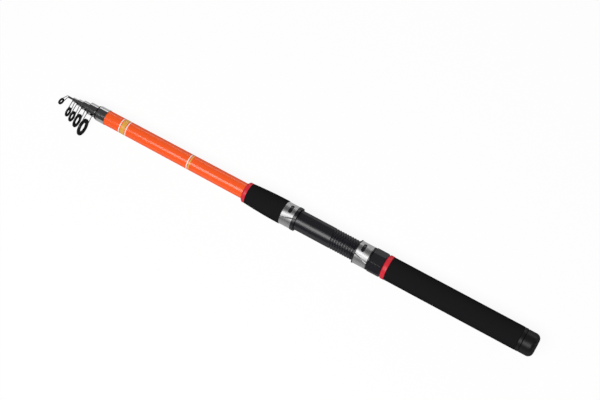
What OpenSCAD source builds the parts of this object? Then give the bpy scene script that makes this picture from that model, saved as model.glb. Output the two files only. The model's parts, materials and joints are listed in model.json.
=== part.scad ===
// Telescopic fishing rod, pushed together for carrying and lying on its side.
// X runs along the rod, from the end face of the butt cap to the tip. Z is up.
// The line guides point to +Y, and every round piece is turned about the X axis.

/* [Sections] */
// How far each section pulls out of the one behind it
slide_travel = 420; // [380:5:430]
// Radial room between a section and the mouth that it wedges in when pulled out
wedge_room = 0.15; // [0.1:0.05:0.25]
// Outer diameter of the butt section at its front end
butt_front_d = 17.2; // [16.8:0.1:17.6]
// Growth of the butt section's diameter for each metre towards the butt
butt_taper = 4.4; // [3.6:0.1:4.8]
// Wall of the butt section
butt_wall = 1.2; // [0.9:0.1:1.4]
// Length of the butt section that shows between the fore grip and the ferrule
butt_shown = 181.7; // [160:0.1:200]
// Outer diameter of section 2 at its front end
section_2_d = 12.6; // [12.2:0.1:13]
// Wall of section 2
section_2_wall = 1; // [0.8:0.05:1.2]
// Outer diameter of section 3 at its front end
section_3_d = 8.8; // [8.5:0.1:9.1]
// Wall of section 3
section_3_wall = 0.9; // [0.75:0.05:1]
// Outer diameter of section 4 at its front end
section_4_d = 5.6; // [5.4:0.1:5.8]
// Wall of section 4
section_4_wall = 0.6; // [0.5:0.05:0.7]
// Outer diameter of section 5 at its front end
section_5_d = 3.3; // [3.2:0.05:3.5]
// Wall of section 5
section_5_wall = 0.55; // [0.45:0.05:0.6]
// Diameter of the solid tip at its front end
tip_d = 1.3; // [1.1:0.05:1.4]

/* [Front ferrule] */
// Length of the ring on the butt section's front end
ferrule_length = 11.6; // [8:0.1:13]
// Wall of the ring
ferrule_wall = 0.45; // [0.3:0.05:0.8]
// Thickness of the lip that covers the butt section's front edge
ferrule_lip = 1; // [0.6:0.1:1.5]

/* [Butt cap] */
// Length of the screw cap
cap_length = 15.1; // [14.5:0.1:18]
// Diameter of the cap's smooth skirt
cap_d = 26.4; // [25.8:0.1:28]
// Diameter of the flat end face
cap_end_d = 15; // [14.5:0.5:18]
// Length of the rounded edge behind the skirt
cap_round_length = 6; // [5.5:0.1:7]
// Thickness of the cap's floor
cap_floor = 3.6; // [2.6:0.1:4]
// Number of flutes round the cap's rear edge
cap_flutes = 16; // [12:1:20]
// Diameter of each flute
cap_flute_d = 2.6; // [2:0.1:3.2]
// Depth of each flute in the rounded edge
cap_flute_depth = 1; // [0.4:0.1:1]
// Length of the cut that makes each flute
cap_flute_length = 10; // [8:0.1:12]
// Thickness of the rubber pad that the sections rest on
pad_thickness = 2.2; // [1.5:0.1:2.6]

/* [Butt collar] */
// Length of the collar's band
collar_length = 3.8; // [3:0.1:8]
// Diameter of the collar's band
collar_d = 26.8; // [25.6:0.1:28]
// Crest diameter of the collar's screw spigot
spigot_d = 22; // [21.6:0.1:22.6]
// Pitch of the spigot's screw
spigot_pitch = 2; // [1.6:0.1:2.4]
// Depth of the spigot's screw
spigot_depth = 0.5; // [0.3:0.05:0.7]

/* [Grips] */
// Length of the rear grip
rear_grip_length = 156.2; // [120:0.1:220]
// Diameter of the rear grip
rear_grip_d = 27; // [25:0.1:30]
// Length of the trim ring in front of the rear grip
rear_ring_length = 5.6; // [4:0.1:8]
// Diameter of the trim ring in front of the rear grip
rear_ring_d = 27.6; // [25:0.1:30]
// Length of the fore grip
fore_grip_length = 44.8; // [35:0.1:80]
// Diameter of the fore grip at its rear end
fore_grip_rear_d = 27.5; // [26:0.1:30]
// Diameter of the fore grip at its front end
fore_grip_front_d = 23.8; // [22:0.1:25]
// Length of the trim ring in front of the fore grip
fore_ring_length = 5.2; // [4:0.1:8]
// Diameter of the trim ring in front of the fore grip
fore_ring_d = 23.8; // [22:0.1:26]
// Width of the bevel on the ends of the grips and rings
edge_bevel = 0.6; // [0.3:0.1:1]

/* [Reel seat] */
// Length of the barrel
barrel_length = 125.1; // [115:0.1:150]
// Diameter of the barrel, and of its screw's crests
barrel_d = 23.1; // [22.4:0.1:24]
// Bore of the barrel, which the two bushes fill
barrel_bore_d = 19.5; // [19.3:0.05:19.8]
// Length of the screw on the barrel
thread_length = 64.2; // [55:0.1:70]
// Pitch of the screw
thread_pitch = 3; // [2.5:0.1:3.5]
// Depth of the screw
thread_depth = 0.7; // [0.4:0.05:0.8]
// Depth of the flat that the reel's foot lies on
saddle_depth = 0.6; // [0.3:0.05:0.7]
// Length of each bush between the blank and the barrel
bush_length = 14; // [8:1:30]
// Turn of the saddle and the pockets from straight up
seat_turn = 22; // [0:1:45]

/* [Hoods] */
// Length of a hood
hood_length = 17.7; // [15:0.1:20]
// Wall of a hood's moulded body
hood_wall = 0.9; // [0.8:0.05:1.1]
// Thickness of a hood's metal cover
cover_thickness = 0.5; // [0.3:0.05:0.7]
// Rise of the pocket above the hood at its mouth
pocket_rise = 1.3; // [0.9:0.1:2]
// Half angle of the pocket's dome at its mouth
pocket_mouth_angle = 41; // [34:1:46]
// Half angle of the pocket's dome at its closed end
pocket_closed_angle = 56; // [50:1:62]
// Thickness of the pocket's closed end
pocket_end = 2.4; // [1.6:0.1:4]
// Width of the front hood's lip
front_lip = 3.8; // [2:0.1:5]
// Width of the sliding hood's lip
sliding_lip = 1.1; // [0.8:0.1:3]
// Rise of a hood's lip above its cover
lip_rise = 0.4; // [0.1:0.05:0.6]
// Width of the sliding hood's rear band
sliding_band = 1.3; // [0.6:0.1:2]
// Length of the slot in a cover, across the rod
slot_length = 10.6; // [5:0.1:10.6]
// Width of the slot in a cover, along the rod
slot_width = 4; // [2:0.1:4.5]
// Distance of the slot's middle from the cover's mouth edge
slot_setback = 6; // [4:0.1:8]

/* [Lock nut] */
// Length of the nut
nut_length = 16; // [12:0.1:20]
// Wall between the nut's flats and its groove
nut_wall = 0.3; // [0.2:0.05:1]
// Length of the nut's end chamfers
nut_chamfer = 1.4; // [0.8:0.1:2]
// Length of the hood's skirt inside the nut
skirt_length = 5; // [4:0.1:7]
// Wall of the hood's skirt
skirt_wall = 0.4; // [0.3:0.05:0.6]

/* [Guides] */
// Slant of the guides below the horizontal
guide_slant = 8; // [0:1:20]
// Wall of the guides' sleeves
sleeve_wall = 0.9; // [0.8:0.05:1]
// Width of the rings of guides 3 to 5 along the rod
ring_width = 1.7; // [1.2:0.1:2]
// Diameter of the frame's wire
wire_d = 0.9; // [0.7:0.1:1]
// Radius of the wire's bends, at the wire's middle
bend_r = 1.4; // [1:0.1:1.8]
// Length of the black stop ring behind guide 2
stop_ring_length = 1.8; // [1:0.1:3]
// Diameter of the black stop ring behind guide 2
stop_ring_d = 16.2; // [15:0.1:18]

/* [Guide 2] */
// Length of the sleeve
guide_2_sleeve = 10.8; // [8.5:0.1:13]
// Outer diameter of the ring
guide_2_ring_d = 20.5; // [19:0.1:21]
// Width of the ring along the rod
guide_2_width = 2.4; // [1.6:0.1:3]
// Diameter of the hole for the line
guide_2_hole_d = 10.4; // [9.6:0.1:11.4]
// Distance of the ring's middle from the rod's axis
guide_2_offset = 22.6; // [21:0.1:24]
// Distance of the ring's middle behind the sleeve's front
guide_2_setback = 3; // [2.2:0.1:4]

/* [Guide 3] */
// Length of the sleeve
guide_3_sleeve = 8.7; // [7.5:0.1:11]
// Outer diameter of the ring
guide_3_ring_d = 16.5; // [15:0.1:17.5]
// Diameter of the hole for the line
guide_3_hole_d = 7.5; // [7:0.1:8.4]
// Distance of the ring's middle from the rod's axis
guide_3_offset = 19.1; // [17:0.1:21]
// Distance of the ring's middle behind the sleeve's front
guide_3_setback = 2.2; // [1.9:0.1:3]

/* [Guide 4] */
// Length of the sleeve
guide_4_sleeve = 6.5; // [6.2:0.1:9]
// Outer diameter of the ring
guide_4_ring_d = 12.9; // [12.2:0.1:14]
// Diameter of the hole for the line
guide_4_hole_d = 5.5; // [5:0.1:6.2]
// Distance of the ring's middle from the rod's axis
guide_4_offset = 17.6; // [15.5:0.1:18.5]
// Distance of the ring's middle behind the sleeve's front
guide_4_setback = 0.9; // [0.8:0.1:2]

/* [Guide 5] */
// Length of the sleeve
guide_5_sleeve = 7.1; // [6.2:0.1:9]
// Outer diameter of the ring
guide_5_ring_d = 11.4; // [10.2:0.1:12]
// Diameter of the hole for the line
guide_5_hole_d = 4.7; // [4.4:0.1:5.4]
// Distance of the ring's middle from the rod's axis
guide_5_offset = 15.2; // [14:0.1:17]
// Distance of the ring's middle behind the sleeve's front
guide_5_setback = 1.5; // [1:0.1:2.5]

/* [Tip top] */
// Turn of the tip top above the horizontal
tip_turn = 22; // [-20:1:45]
// Length of the tube on the tip
tip_tube_length = 6.6; // [5.5:0.1:9]
// Wall of the tube on the tip
tip_tube_wall = 0.35; // [0.25:0.05:0.5]
// Distance from the tube's front to the bend of the wires
tip_bend_ahead = 1.1; // [0.9:0.1:2]
// Angle that the wires bend away from the rod
tip_bend_angle = 77; // [65:1:85]
// Distance of the ring's middle from the bend, along the wires
tip_ring_reach = 9.7; // [9:0.1:11]
// Outer diameter of the ring
tip_ring_d = 8.2; // [7.2:0.1:8.4]
// Diameter of the hole for the line
tip_hole_d = 4; // [3.4:0.1:4.4]
// Width of the ring
tip_ring_width = 1.9; // [1.3:0.1:2]
// Diameter of the wire
tip_wire_d = 0.8; // [0.7:0.05:0.9]

/* [Fits] */
// Gap between pieces that are glued or pressed together
glue_gap = 0.05; // [0.03:0.01:0.08]
// Gap between flat faces that rest on each other
rest_gap = 0.1; // [0.05:0.05:0.2]
// Radial gap of a piece that slides or turns on another
run_gap = 0.2; // [0.15:0.05:0.25]
// Gap between the rear ends of the sections and the pad
pad_gap = 0.3; // [0.2:0.05:0.5]

/* [Hidden] */
$fn = 96;

// Colours of the finishes
orange_lacquer = [1, 0.37, 0.15];
red_anodised = [0.84, 0.19, 0.24];
black_foam = [0.11, 0.11, 0.115];
black_plastic = [0.13, 0.13, 0.14];
black_rubber = [0.08, 0.08, 0.08];
bright_metal = [0.8, 0.8, 0.82];
wire_steel = [0.35, 0.35, 0.37];
ring_black = [0.06, 0.06, 0.065];
bush_tan = [0.72, 0.62, 0.45];

// Stations along the handle
rear_x = cap_floor + pad_thickness + pad_gap;
collar_x = cap_length + rest_gap;
rear_grip_x = collar_x + collar_length;
rear_ring_x = rear_grip_x + rear_grip_length;
barrel_x = rear_ring_x + rear_ring_length;
nut_x = barrel_x + run_gap;
sliding_hood_x = nut_x + nut_length + run_gap;
fore_grip_x = barrel_x + barrel_length;
fore_ring_x = fore_grip_x + fore_grip_length;
blank_x = fore_ring_x + fore_ring_length;
ferrule_x = blank_x + butt_shown;
ferrule_front = ferrule_x + ferrule_length;

// Fronts of the sections at rest: butt section, sections 2 to 5, solid tip.
// Each sleeve rests on the front of the one behind it.
sleeve_x2 = ferrule_front + rest_gap + stop_ring_length;
front_2 = sleeve_x2 + guide_2_sleeve;
sleeve_x3 = front_2 + rest_gap;
front_3 = sleeve_x3 + guide_3_sleeve;
sleeve_x4 = front_3 + rest_gap;
front_4 = sleeve_x4 + guide_4_sleeve;
sleeve_x5 = front_4 + rest_gap;
front_5 = sleeve_x5 + guide_5_sleeve;
tip_tube_x = front_5 + rest_gap;
tip_tube_front = tip_tube_x + tip_tube_length;
section_front = [ferrule_front - ferrule_lip, front_2, front_3, front_4, front_5, tip_tube_front];
section_tip_d = [butt_front_d, section_2_d, section_3_d, section_4_d, section_5_d, tip_d];
section_wall = [butt_wall, section_2_wall, section_3_wall, section_4_wall, section_5_wall];

// A section's taper makes it wedge in the mouth behind it at full travel
function mouth_d(i) = section_tip_d[i] - 2 * section_wall[i];
function wedge_x(i) = section_front[i - 1] - slide_travel;
function taper(i) = i == 0 ? butt_taper / 1000
    : (mouth_d(i - 1) - 2 * wedge_room - section_tip_d[i]) / (section_front[i] - wedge_x(i));
function section_d(i, x) = section_tip_d[i] + taper(i) * (section_front[i] - x);

// Fits round the reel seat
barrel_r = barrel_d / 2;
hood_bore_r = barrel_r + run_gap;
hood_body_r = hood_bore_r + hood_wall;
hood_r = hood_body_r + glue_gap + cover_thickness;
saddle_r = barrel_r - saddle_depth;
skirt_r = hood_bore_r + skirt_wall;
catch_rise = 2 * run_gap;
catch_r = skirt_r + catch_rise;
catch_width = 1;
catch_inset = 1;
nut_lip_r = skirt_r + run_gap;
nut_groove_r = catch_r + run_gap;
nut_sides = 8;
nut_flat_r = nut_groove_r + nut_wall;
nut_corner_r = nut_flat_r / cos(180 / nut_sides);
nut_turn = 24;
cutter_over = 1;
flute_lean = 25;

// One crest of a screw: shares of the pitch and of the depth
crest_shape = [[0, 0], [0.3, 1], [0.5, 1], [0.8, 0]];

// Height and radius of the pocket's dome, from its rise and half angle
closed_share = 0.3;
closed_rise = closed_share * pocket_rise;
function dome_height(rise, angle) =
    (pow(hood_r + rise, 2) - pow(hood_r, 2)) / (2 * (hood_r + rise - hood_r * cos(angle)));
mouth_height = dome_height(pocket_rise, pocket_mouth_angle);
closed_height = dome_height(closed_rise, pocket_closed_angle);
mouth_dome_r = hood_r + pocket_rise - mouth_height;
closed_dome_r = hood_r + closed_rise - closed_height;

// Guides 2 to 5 as lists, by the number of their section
guide_front = [0, front_2, front_3, front_4, front_5];
guide_start = [0, sleeve_x2, sleeve_x3, sleeve_x4, sleeve_x5];
guide_ring_d = [0, guide_2_ring_d, guide_3_ring_d, guide_4_ring_d, guide_5_ring_d];
guide_width = [0, guide_2_width, ring_width, ring_width, ring_width];
guide_hole_d = [0, guide_2_hole_d, guide_3_hole_d, guide_4_hole_d, guide_5_hole_d];
guide_offset = [0, guide_2_offset, guide_3_offset, guide_4_offset, guide_5_offset];
guide_setback = [0, guide_2_setback, guide_3_setback, guide_4_setback, guide_5_setback];
insert_share = 0.42;
insert_round = 0.45;
ring_bevel = 0.08;
wire_sink = 0.25;
foot_stop = 1;
wire_joint = 0.05;
wire_bead = 1.06;
tip_wire_x = tip_tube_front + tip_bend_ahead;
tip_tube_r = section_d(5, tip_tube_x) / 2 + glue_gap + tip_tube_wall;

// Puts a child that stands along Z on the rod's axis, at station x
module along_x(x) translate([x, 0, 0]) rotate([0, 90, 0]) children();

// Turns an outline of [radius, station] points about the rod's axis
module turned() rotate([0, 90, 0]) rotate_extrude() children();

// A ring about the rod's axis with a straight bore and bevelled outer edges
module bevelled_ring(x, length, r, bore_1, bore_2, rear_bevel, front_bevel)
    turned() polygon([
        [bore_1, x], [r - rear_bevel, x], [r, x + rear_bevel],
        [r, x + length - front_bevel], [r - front_bevel, x + length], [bore_2, x + length]
    ]);

// Radius of the blank's surface with room for glue
function blank_seat(x) = section_d(0, x) / 2 + glue_gap;

// Outline of a row of screw crests, from the root at x1 to the root at x2
function crests(x1, x2, pitch, crest_r, depth) = [
    for (k = [0:floor((x2 - x1) / pitch) - 1], p = crest_shape)
        [crest_r - depth + p[1] * depth, x1 + (k + p[0]) * pitch]
];

// Radius of an arc that falls by drop over a length and starts level
function arc_r(length, drop) = (pow(length, 2) + pow(drop, 2)) / (2 * drop);

// Telescopic sections

module section_tube(i) turned() polygon([
    [section_d(i, rear_x) / 2 - section_wall[i], rear_x],
    [section_d(i, rear_x) / 2, rear_x],
    [section_tip_d[i] / 2, section_front[i]],
    [section_tip_d[i] / 2 - section_wall[i], section_front[i]]
]);

module butt_section() color(orange_lacquer) section_tube(0);

module section_2() color(orange_lacquer) section_tube(1);

module section_3() color(orange_lacquer) section_tube(2);

module section_4() color(orange_lacquer) section_tube(3);

module section_5() color(orange_lacquer) section_tube(4);

module tip_section() color(orange_lacquer) turned() polygon([
    [0, rear_x], [section_d(5, rear_x) / 2, rear_x], [tip_d / 2, tip_tube_front], [0, tip_tube_front]
]);

// Bright ring that guards the butt section's mouth, with a lip over its edge
module front_ferrule() color(bright_metal) turned() {
    outer_r = blank_seat(ferrule_x) + ferrule_wall;
    lip_x = ferrule_front - ferrule_lip + glue_gap;
    polygon([
        [blank_seat(ferrule_x), ferrule_x], [outer_r, ferrule_x],
        [outer_r, ferrule_front - ferrule_wall], [outer_r - ferrule_wall, ferrule_front],
        [mouth_d(0) / 2, ferrule_front], [mouth_d(0) / 2, lip_x], [blank_seat(lip_x), lip_x]
    ]);
}

// Handle

// Foam grip with a straight outside and a bore that follows the blank
module rear_grip() color(black_foam)
    bevelled_ring(rear_grip_x, rear_grip_length, rear_grip_d / 2,
        blank_seat(rear_grip_x), blank_seat(rear_ring_x), edge_bevel, edge_bevel);

module rear_grip_ring() color(red_anodised)
    bevelled_ring(rear_ring_x, rear_ring_length, rear_ring_d / 2,
        blank_seat(rear_ring_x), blank_seat(barrel_x), edge_bevel / 2, 2 * edge_bevel);

// Foam grip whose outside swells in one arc from its front end to its rear end
module fore_grip() color(black_foam) turned() {
    swell_r = arc_r(fore_grip_length, (fore_grip_rear_d - fore_grip_front_d) / 2);
    intersection() {
        polygon([
            [blank_seat(fore_grip_x), fore_grip_x],
            [fore_grip_rear_d / 2 - edge_bevel, fore_grip_x],
            [fore_grip_rear_d / 2, fore_grip_x + edge_bevel],
            [fore_grip_rear_d / 2, fore_ring_x],
            [blank_seat(fore_ring_x), fore_ring_x]
        ]);
        translate([fore_grip_rear_d / 2 - swell_r, fore_grip_x]) circle(r = swell_r, $fn = 720);
    }
}

module fore_grip_ring() color(red_anodised)
    bevelled_ring(fore_ring_x, fore_ring_length, fore_ring_d / 2,
        blank_seat(fore_ring_x), blank_seat(blank_x), edge_bevel / 2, 3 * edge_bevel);

// Band at the rear of the handle, with the spigot that the butt cap screws on
module butt_collar() color(black_plastic) turned() {
    collar_r = collar_d / 2;
    grip_end = collar_x + collar_length;
    root_r = spigot_d / 2 - spigot_depth;
    polygon(concat(
        [[blank_seat(rear_x), rear_x], [root_r, rear_x]],
        crests(rear_x + spigot_depth, collar_x - spigot_depth, spigot_pitch, spigot_d / 2, spigot_depth),
        [
            [root_r, collar_x], [collar_r - edge_bevel, collar_x], [collar_r, collar_x + edge_bevel],
            [collar_r, grip_end - edge_bevel], [collar_r - edge_bevel, grip_end],
            [blank_seat(grip_end), grip_end]
        ]
    ));
}

// Screw cap with a rounded rear edge. The flutes lean along the rounding and notch the end face.
module butt_cap() color(black_plastic) {
    cap_r = cap_d / 2;
    bore_r = spigot_d / 2 + run_gap;
    round_r = arc_r(cap_round_length, cap_r - cap_end_d / 2);
    flute_reach = round_r - cap_flute_depth + cap_flute_d / 2;
    difference() {
        turned() difference() {
            polygon([
                [0, 0], [cap_r, 0], [cap_r, cap_length - edge_bevel], [cap_r - edge_bevel, cap_length],
                [bore_r, cap_length], [bore_r, cap_floor], [0, cap_floor]
            ]);
            difference() {
                translate([cap_end_d / 2, -cutter_over]) square([cap_r, cap_round_length + cutter_over]);
                translate([cap_r - round_r, cap_round_length]) circle(r = round_r);
            }
        }
        for (k = [0:cap_flutes - 1]) rotate([k * 360 / cap_flutes, 0, 0])
            translate([cap_round_length, 0, cap_r - round_r]) rotate([0, flute_lean, 0])
                translate([-flute_reach, 0, 0])
                    cylinder(d = cap_flute_d, h = cap_flute_length, center = true, $fn = 24);
    }
}

module butt_cap_pad() color(black_rubber)
    along_x(cap_floor + rest_gap / 2)
        cylinder(r = spigot_d / 2 - rest_gap, h = pad_thickness - rest_gap / 2);

// Reel seat

// Flat that lies along the barrel's pocket side, as a block to cut away
module saddle_block(x, length, r) rotate([seat_turn, 0, 0])
    translate([x, -barrel_d, r]) cube([length, 2 * barrel_d, barrel_d]);

// Barrel with its screw crests and the flat for the reel's foot
module reel_seat_barrel() color(black_plastic) difference() {
    turned() polygon(concat(
        [[barrel_bore_d / 2, barrel_x], [barrel_r - thread_depth, barrel_x]],
        crests(barrel_x + thread_depth, barrel_x + thread_length, thread_pitch, barrel_r, thread_depth),
        [
            [barrel_r - thread_depth, barrel_x + thread_length],
            [barrel_r, barrel_x + thread_length + thread_depth],
            [barrel_r, fore_grip_x], [barrel_bore_d / 2, fore_grip_x]
        ]
    ));
    saddle_block(barrel_x - cutter_over, barrel_length + 2 * cutter_over, saddle_r);
}

// Bush that centres the barrel on the tapered blank
module seat_bush(x) turned() polygon([
    [blank_seat(x), x], [barrel_bore_d / 2 - glue_gap, x],
    [barrel_bore_d / 2 - glue_gap, x + bush_length], [blank_seat(x + bush_length), x + bush_length]
]);

module seat_bush_rear() color(bush_tan) seat_bush(barrel_x);

module seat_bush_front() color(bush_tan) seat_bush(fore_grip_x - bush_length);

// Dome over a hood's pocket: a leaning cone, low and wide at the closed end
// of the hood, high and narrow at its mouth
module pocket_dome(grow) {
    height_rate = (mouth_height - closed_height) / hood_length;
    radius_rate = (mouth_dome_r - closed_dome_r) / hood_length;
    lean = atan(height_rate);
    over = hood_r / 2;
    translate([-over, 0, closed_height - height_rate * over]) rotate([0, 90 - lean, 0])
        cylinder(
            h = (hood_length + 2 * over) / cos(lean),
            r1 = closed_dome_r + grow - radius_rate * over,
            r2 = mouth_dome_r + grow + radius_rate * over
        );
}

// Outside of a hood from x1 to x2, measured from its closed end
module hood_form(x1, x2, grow) intersection() {
    union() {
        along_x(x1) cylinder(r = hood_r + grow, h = x2 - x1);
        pocket_dome(grow);
    }
    along_x(x1) cylinder(r = 2 * hood_r, h = x2 - x1);
}

// Moulded hood: a sleeve on the barrel with a tapered pocket for the reel's foot.
// Its closed end carries a flat that keys on the barrel's saddle. A skirt, where it
// has one, reaches into the nut, and the skirt's rim turns in the nut's groove.
module hood_body(lip, band, bore_r, skirt) {
    under_cover = -cover_thickness - glue_gap;
    difference() {
        union() {
            hood_form(0, hood_length, under_cover);
            hood_form(hood_length - lip, hood_length, lip_rise);
            if (band > 0) along_x(0) cylinder(r = hood_r, h = band);
            if (skirt > 0) {
                along_x(-skirt) cylinder(r = skirt_r, h = skirt + band);
                along_x(catch_inset - skirt) cylinder(r = catch_r, h = catch_width);
            }
        }
        difference() {
            along_x(-skirt - cutter_over)
                cylinder(r = bore_r, h = hood_length + skirt + 2 * cutter_over);
            translate([0, -hood_r, saddle_r + run_gap]) cube([pocket_end, 2 * hood_r, hood_r]);
        }
        intersection() {
            pocket_dome(under_cover - hood_wall);
            along_x(pocket_end) cylinder(r = 2 * hood_r, h = hood_length);
        }
    }
}

// Bright sheet cover wrapped round a hood, with a slot over the pocket
module hood_cover(lip, band) {
    mouth_x = hood_length - lip - glue_gap;
    difference() {
        hood_form(band + glue_gap, mouth_x, 0);
        hood_form(band - cutter_over, hood_length, -cover_thickness);
        translate([mouth_x - slot_setback, 0, 0]) linear_extrude(2 * hood_r) {
            straight = slot_length - slot_width;
            square([slot_width, straight], center = true);
            for (side = [-1, 1]) translate([0, side * straight / 2]) circle(d = slot_width);
        }
    }
}

// Turns a hood to the pocket side: the sliding one faces the tip, the front one the butt
module at_sliding_hood() translate([sliding_hood_x, 0, 0]) rotate([seat_turn, 0, 0]) children();

module at_front_hood() translate([fore_grip_x, 0, 0]) rotate([seat_turn, 0, 0])
    mirror([1, 0, 0]) children();

module front_hood_body() color(black_plastic) at_front_hood()
    hood_body(front_lip, 0, barrel_r + glue_gap, 0);

module front_hood_cover() color(bright_metal) at_front_hood() hood_cover(front_lip, 0);

module sliding_hood_body() color(black_plastic) at_sliding_hood()
    hood_body(sliding_lip, sliding_band, hood_bore_r, skirt_length);

module sliding_hood_cover() color(bright_metal) at_sliding_hood()
    hood_cover(sliding_lip, sliding_band);

// Eight-sided nut that pushes the sliding hood, with a groove that holds the hood's skirt
module lock_nut() color(black_plastic) {
    front = nut_x + nut_length;
    groove_x = sliding_hood_x - skirt_length + catch_inset;
    seat_x = sliding_hood_x - skirt_length - run_gap;
    difference() {
        intersection() {
            along_x(nut_x) rotate([0, 0, nut_turn])
                cylinder(r = nut_corner_r, h = nut_length, $fn = nut_sides);
            bevelled_ring(nut_x, nut_length, nut_corner_r, 0, 0, nut_chamfer, nut_chamfer);
        }
        turned() polygon([
            [0, nut_x - cutter_over], [hood_bore_r, nut_x - cutter_over], [hood_bore_r, seat_x],
            [nut_lip_r, seat_x], [nut_lip_r, groove_x - run_gap], [nut_groove_r, groove_x - run_gap],
            [nut_groove_r, groove_x + catch_width + run_gap],
            [nut_lip_r, groove_x + catch_width + run_gap],
            [nut_lip_r, front + cutter_over], [0, front + cutter_over]
        ]);
    }
}

// Line guides

// Outline of a guide's outer ring, with the groove that its wire lies in
module ring_outline(d, insert_r, width, wire) difference() {
    translate([insert_r, -width / 2]) square([d / 2 - insert_r, width]);
    translate([d / 2 - wire_sink * wire, 0]) circle(d = wire + 2 * glue_gap, $fn = 32);
    for (side = [-1, 1]) translate([d / 2, side * width / 2]) rotate(45)
        square(sqrt(2) * ring_bevel * width, center = true);
}

// Outline of a guide's hard insert, rounded towards the line
module insert_outline(hole_r, outer_r, width) {
    round_r = insert_round * min(width, outer_r - hole_r);
    translate([hole_r + round_r, -width / 2]) square([outer_r - hole_r - round_r, width]);
    translate([hole_r, round_r - width / 2]) square([outer_r - hole_r, width - 2 * round_r]);
    for (side = [-1, 1]) translate([hole_r + round_r, side * (width / 2 - round_r)])
        circle(r = round_r, $fn = 32);
}

function insert_r(d, hole) = (hole + insert_share * (d - hole)) / 2;

// Wire frame of a guide: a loop in the ring's groove, two straight legs that
// touch the loop, and two feet along the sides of the sleeve.
// It starts at the bend at the origin, and bends away from +X by the angle bend.
module wire_frame(side, reach, loop_r, foot, wire, bend) {
    span = sqrt(pow(side, 2) + pow(reach, 2));
    flare = asin(loop_r / span) - atan(side / reach);
    leg = sqrt(pow(span, 2) - pow(loop_r, 2));
    turn = acos(cos(bend) * cos(flare));
    roll = atan2(sin(flare), cos(flare) * sin(bend));
    trim = bend_r * tan(turn / 2);
    rotate([0, 0, bend - 90]) rotate([0, -90, 0]) translate([0, reach, 0])
        wire_arc(loop_r, wire, -flare, 180 + flare);
    for (flip = [0, 1]) mirror([0, 0, flip]) {
        rotate([0, 0, bend - 90]) rotate([0, -90, 0]) translate([side, 0, 0])
            rotate([0, 0, -flare]) rotate([-90, 0, 0]) wire_run(trim, leg, wire);
        translate([0, 0, side]) rotate([roll, 0, 0]) {
            translate([-trim, bend_r, 0]) wire_arc(bend_r, wire, -90, turn - 90);
            rotate([0, -90, 0]) wire_run(trim, foot, wire);
        }
    }
}

// Straight wire along Z with a bead at its start and end, which joins it to the next stretch
module wire_run(start, end, wire) {
    translate([0, 0, start + wire_joint]) cylinder(d = wire, h = end - start - 2 * wire_joint, $fn = 32);
    for (z = [start, end]) translate([0, 0, z]) sphere(d = wire_bead * wire, $fn = 32);
}

// Bent wire about Z, from one angle to the other
module wire_arc(r, wire, from, to) {
    short = wire_joint / r * 180 / PI;
    rotate([0, 0, from + short]) rotate_extrude(angle = to - from - 2 * short)
        translate([r, 0]) circle(d = wire, $fn = 32);
}

// Turns what points along +Y to the guides' direction
module guide_side() rotate([-guide_slant, 0, 0]) children();

// Puts an outline turned about its own axis on the ring's middle of guide i
module at_ring(i) guide_side()
    translate([guide_front[i] - guide_setback[i], guide_offset[i], 0]) turned() children();

module guide_sleeve(i) {
    x1 = guide_start[i];
    x2 = guide_front[i];
    outer_r = section_d(i, x1) / 2 + glue_gap + sleeve_wall;
    bevelled_ring(x1, x2 - x1, outer_r, section_d(i, x1) / 2 + glue_gap,
        section_d(i, x2) / 2 + glue_gap, sleeve_wall / 3, sleeve_wall / 3);
}

module guide_frame(i) guide_side() translate([guide_front[i] - guide_setback[i], 0, 0]) {
    sleeve_r = section_d(i, guide_start[i]) / 2 + glue_gap + sleeve_wall;
    wire_frame(sleeve_r + glue_gap + wire_d / 2, guide_offset[i],
        guide_ring_d[i] / 2 - wire_sink * wire_d,
        guide_front[i] - guide_setback[i] - guide_start[i] - foot_stop, wire_d, 90);
}

module guide_ring(i) at_ring(i)
    ring_outline(guide_ring_d[i], insert_r(guide_ring_d[i], guide_hole_d[i]), guide_width[i], wire_d);

module guide_insert(i) at_ring(i)
    insert_outline(guide_hole_d[i] / 2,
        insert_r(guide_ring_d[i], guide_hole_d[i]) - glue_gap, guide_width[i]);

module guide_2_stop_ring() color(ring_black)
    bevelled_ring(ferrule_front + rest_gap, stop_ring_length - glue_gap, stop_ring_d / 2,
        section_d(1, ferrule_front) / 2 + glue_gap, section_d(1, ferrule_front) / 2 + glue_gap,
        stop_ring_length / 4, stop_ring_length / 4);

module guide_2_sleeve_tube() color(bright_metal) guide_sleeve(1);

module guide_2_frame() color(wire_steel) guide_frame(1);

module guide_2_ring() color(ring_black) guide_ring(1);

module guide_2_insert() color(ring_black) guide_insert(1);

module guide_3_sleeve_tube() color(bright_metal) guide_sleeve(2);

module guide_3_frame() color(wire_steel) guide_frame(2);

module guide_3_ring() color(ring_black) guide_ring(2);

module guide_3_insert() color(ring_black) guide_insert(2);

module guide_4_sleeve_tube() color(bright_metal) guide_sleeve(3);

module guide_4_frame() color(wire_steel) guide_frame(3);

module guide_4_ring() color(ring_black) guide_ring(3);

module guide_4_insert() color(ring_black) guide_insert(3);

module guide_5_sleeve_tube() color(bright_metal) guide_sleeve(4);

module guide_5_frame() color(wire_steel) guide_frame(4);

module guide_5_ring() color(ring_black) guide_ring(4);

module guide_5_insert() color(ring_black) guide_insert(4);

// Tip top

// Turns what points along +Y to the tip top's direction
module tip_side() rotate([tip_turn, 0, 0]) children();

module tip_top_tube() color(wire_steel)
    bevelled_ring(tip_tube_x, tip_tube_length, tip_tube_r,
        section_d(5, tip_tube_x) / 2 + glue_gap, section_d(5, tip_tube_front) / 2 + glue_gap,
        tip_tube_wall / 3, tip_tube_wall / 3);

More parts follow.
